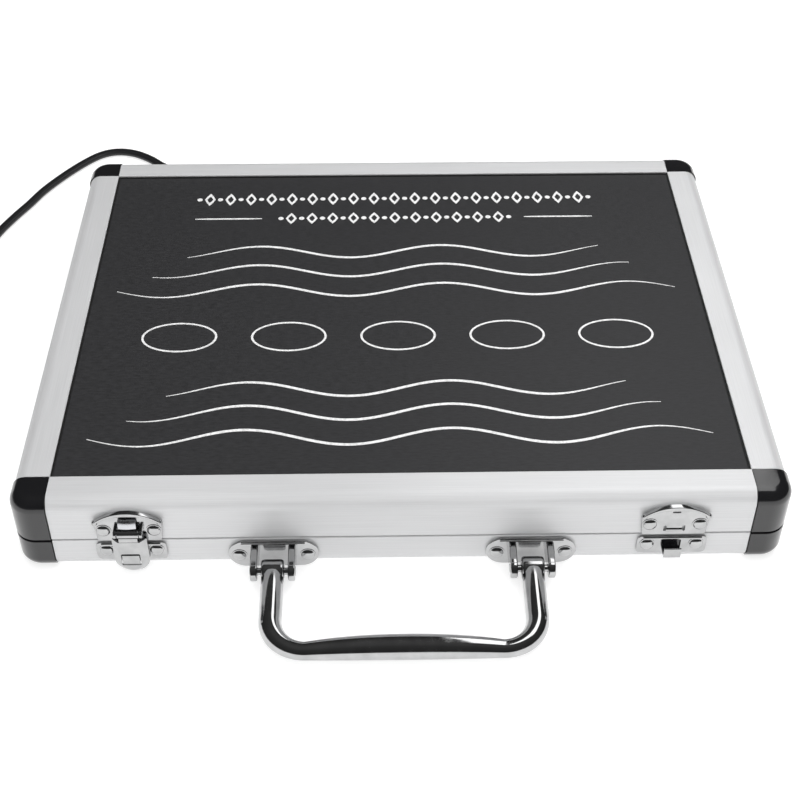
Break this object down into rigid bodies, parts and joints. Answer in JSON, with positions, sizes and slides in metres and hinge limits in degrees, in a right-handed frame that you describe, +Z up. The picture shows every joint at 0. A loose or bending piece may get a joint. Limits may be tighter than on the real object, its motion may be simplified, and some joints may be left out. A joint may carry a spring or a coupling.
{
  "type": "hot stone warming case",
  "caption": "Slim aluminium-framed warming case with basalt massage stones in a heated felt tray, hinged lid, latches and bail handle.",
  "frame": {"origin": "middle of the flat underside of the case", "axes": "+X to the right seen from the handle, +Y towards the hinges, +Z up through the lid"},
  "size_m": [0.5093, 0.392, 0.04],
  "materials": {
    "aluminium": "satin anodised",
    "corner_plastic": "gloss moulded",
    "lid_board": "fine textured laminate with light line print",
    "base_board": "black faced board",
    "insulation": "pale insulating board",
    "heating_mat": "silicone rubber",
    "thermostat": "moulded",
    "felt": "felt faced foam",
    "foam": "fabric faced foam",
    "basalt": "polished smooth",
    "chrome": "bright plated",
    "steel": "zinc plated",
    "lead": "smooth flexible plastic",
    "tie": "hook and loop strap"
  },
  "bodies": {
    "base": {"base_corner_back_left": "corner_plastic", "base_corner_back_right": "corner_plastic", "base_corner_front_left": "corner_plastic", "base_corner_front_right": "corner_plastic", "base_frame_back": "aluminium", "base_frame_front": "aluminium", "base_frame_left": "aluminium", "base_frame_right": "aluminium", "bottom_panel": "base_board", "catch_plate_left": "chrome", "catch_plate_right": "chrome", "cord": "lead", "cord_coil": "lead", "cord_tie": "tie", "handle_bracket_left": "chrome", "handle_bracket_right": "chrome", "handle_pin_left": "chrome", "handle_pin_right": "chrome", "heating_mat": "heating_mat", "hinge_leaf_base_left": "steel", "hinge_leaf_base_right": "steel", "hinge_pin_left": "steel", "hinge_pin_right": "steel", "insulation_board": "insulation", "plug": "lead", "stone_large_left": "basalt", "stone_large_right": "basalt", "stone_medium_1": "basalt", "stone_medium_2": "basalt", "stone_medium_3": "basalt", "stone_medium_4": "basalt", "stone_small_1": "basalt", "stone_small_2": "basalt", "stone_small_3": "basalt", "stone_small_4": "basalt", "stone_small_5": "basalt", "stone_small_6": "basalt", "stone_tray": "felt", "strain_relief": "lead", "thermostat": "thermostat"},
    "lid": {"hasp_pin_left": "steel", "hinge_leaf_lid_left": "steel", "hinge_leaf_lid_right": "steel", "latch_plate_left": "chrome", "latch_plate_right": "chrome", "latch_spring_left": "steel", "lid_corner_back_left": "corner_plastic", "lid_corner_back_right": "corner_plastic", "lid_corner_front_left": "corner_plastic", "lid_corner_front_right": "corner_plastic", "lid_frame_back": "aluminium", "lid_frame_front": "aluminium", "lid_frame_left": "aluminium", "lid_frame_right": "aluminium", "lid_lining": "foam", "lid_panel": "lid_board"},
    "hasp_left": {"hasp_left": "chrome"},
    "handle": {"handle": "chrome"}
  },
  "joints": [
    {"name": "lid_hinge", "type": "hinge", "parent": "base", "child": "lid", "pos_m": [0, 0.1346, 0.0174], "axis": [-1, 0, 0], "range_deg": [0, 100]},
    {"name": "hasp_hinge", "type": "hinge", "parent": "lid", "child": "hasp_left", "pos_m": [-0.1163, -0.1356, 0.0246], "axis": [-1, 0, 0], "range_deg": [0, 115]},
    {"name": "handle_hinge", "type": "hinge", "parent": "base", "child": "handle", "pos_m": [0, -0.143, 0.0082], "axis": [-1, 0, 0], "range_deg": [0, 95]}
  ]
}
